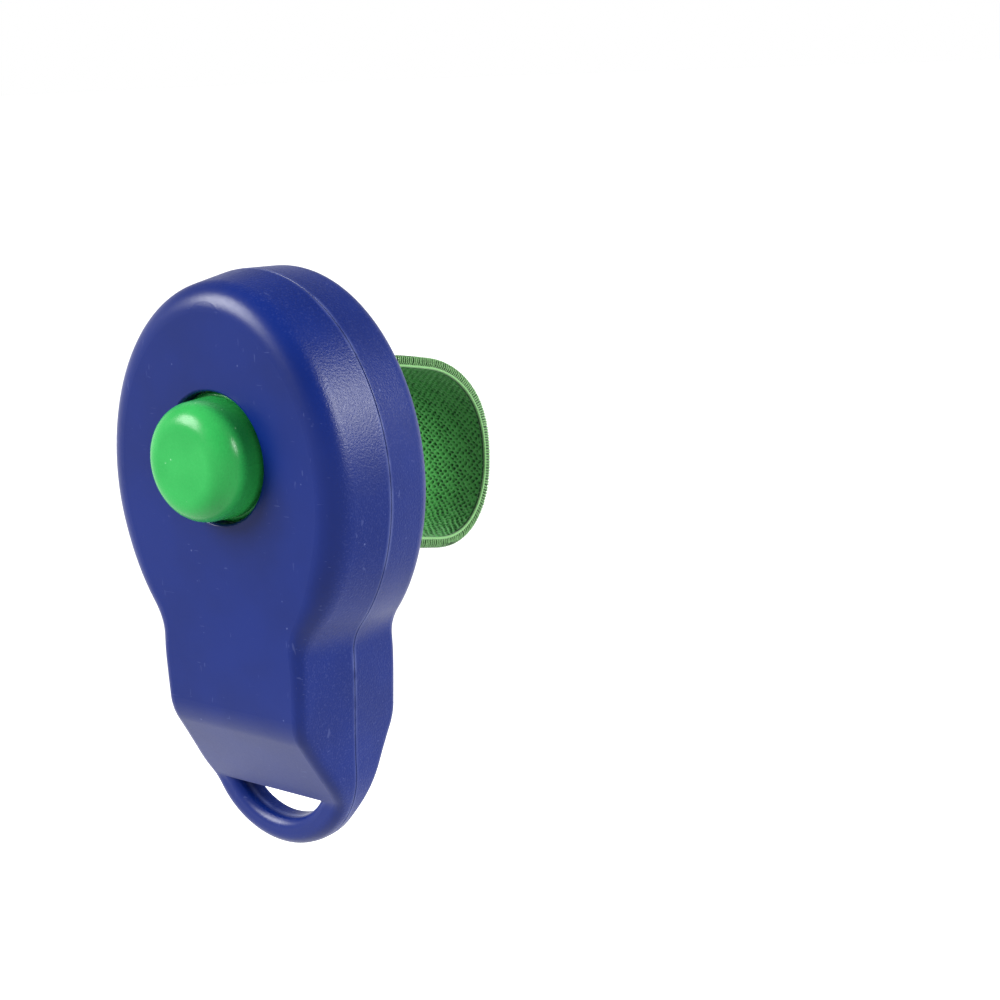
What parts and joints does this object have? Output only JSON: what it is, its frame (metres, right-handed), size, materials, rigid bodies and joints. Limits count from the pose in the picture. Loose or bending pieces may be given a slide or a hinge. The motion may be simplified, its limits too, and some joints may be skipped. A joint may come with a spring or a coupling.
{
  "type": "clicker trainer",
  "caption": "Hand-held training clicker: teardrop two-shell plastic casing with a raised push button, a lanyard slot in its foot and an elastic finger band behind.",
  "frame": {"origin": "middle of the finger band's opening, 10.9 mm behind the casing's rear face", "axes": "+X to the right of someone who looks at the button, along the finger; +Y from the button towards the finger band; +Z from the lanyard slot up to the casing's crown"},
  "size_m": [0.0394, 0.0439, 0.0703],
  "materials": {
    "casing": "satin moulded plastic, deep blue",
    "button": "glossy moulded plastic, bright green",
    "elastic": "knitted elastic tape, green",
    "thread": "sewing thread, green",
    "spring_steel": "hardened strip, bright",
    "steel_pin": "drawn wire, cut to length",
    "screw_steel": "zinc-plated steel"
  },
  "bodies": {
    "casing": {"front_shell": "casing", "rear_shell": "casing", "finger_band": "elastic", "band_pin_upper": "steel_pin", "band_pin_lower": "steel_pin", "hem_stitching_upper": "thread", "hem_stitching_lower": "thread", "clicker_blade": "spring_steel", "blade_screw_left": "screw_steel", "blade_screw_right": "screw_steel", "casing_screw_top": "screw_steel", "casing_screw_left": "screw_steel", "casing_screw_right": "screw_steel"},
    "button": {"button": "button"}
  },
  "joints": [
    {"name": "button_press", "type": "slide", "parent": "casing", "child": "button", "axis": [0, 1, 0], "range_m": [0, 0.0016], "stiffness_N_per_m": 1200, "springref_m": -0.0004, "deforming": ["clicker_blade"]}
  ]
}
